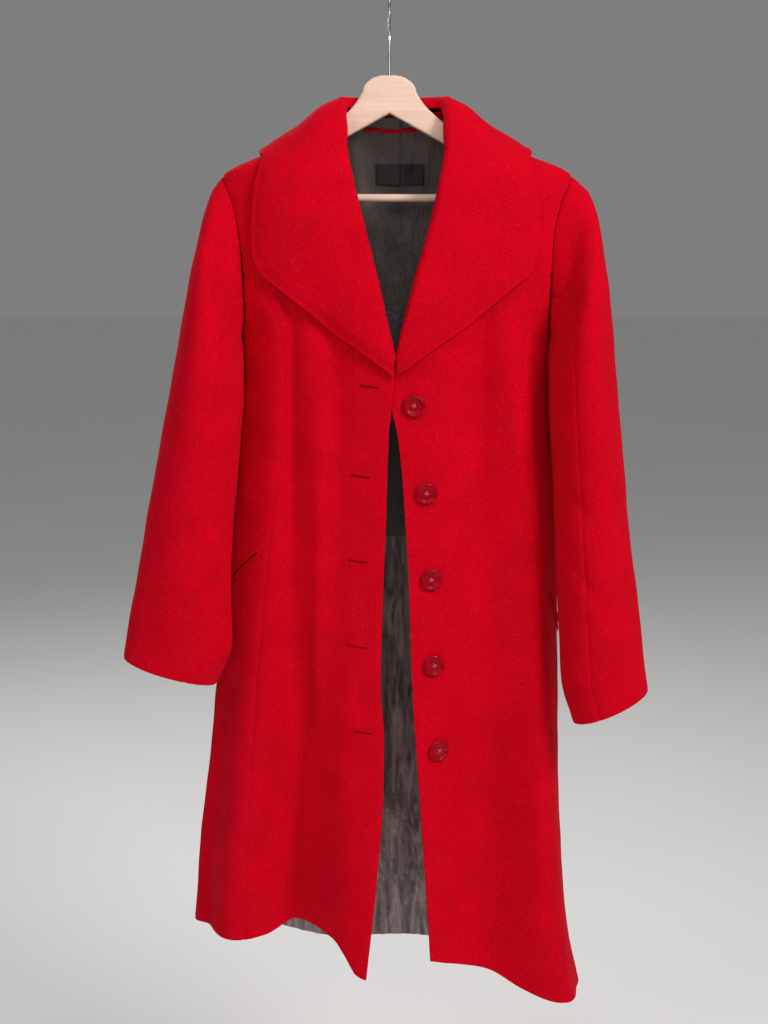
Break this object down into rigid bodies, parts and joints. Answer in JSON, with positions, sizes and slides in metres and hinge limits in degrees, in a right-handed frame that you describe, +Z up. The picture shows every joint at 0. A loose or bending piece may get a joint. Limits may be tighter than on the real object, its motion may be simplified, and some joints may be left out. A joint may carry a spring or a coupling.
{
  "type": "swing coat on hanger",
  "caption": "Knee-length flared wool coat, worn open, with a wide rounded collar, princess seams and slanted pockets, hung on a wooden hanger with a wire hook.",
  "frame": {"origin": "inner top of the hanger's hook, where a rail carries it", "axes": "+Z up, -Y out of the coat's front, +X towards the side with the buttons"},
  "size_m": [0.6135, 0.193, 1.2099],
  "materials": {
    "red_wool": "napped wool boucle, matt",
    "black_satin": "satin lining, soft sheen",
    "label_tape": "plain woven tape, bare",
    "red_button": "polished",
    "pale_wood": "bleached beech, satin lacquer",
    "bright_steel": "bright drawn wire"
  },
  "bodies": {
    "root": {"front_left": "red_wool", "front_right": "red_wool", "side_front_left": "red_wool", "side_front_right": "red_wool", "side_back_left": "red_wool", "side_back_right": "red_wool", "back_left": "red_wool", "back_right": "red_wool", "upper_sleeve_left": "red_wool", "upper_sleeve_right": "red_wool", "under_sleeve_left": "red_wool", "under_sleeve_right": "red_wool", "collar": "red_wool", "pocket_welt_left": "red_wool", "pocket_welt_right": "red_wool", "back_lining": "black_satin", "label": "label_tape", "hanging_loop": "red_wool", "button_1": "red_button", "button_2": "red_button", "button_3": "red_button", "button_4": "red_button", "button_5": "red_button", "hanger_body": "pale_wood", "hanger_bar": "pale_wood", "hanger_hook": "bright_steel"}
  },
  "joints": []
}
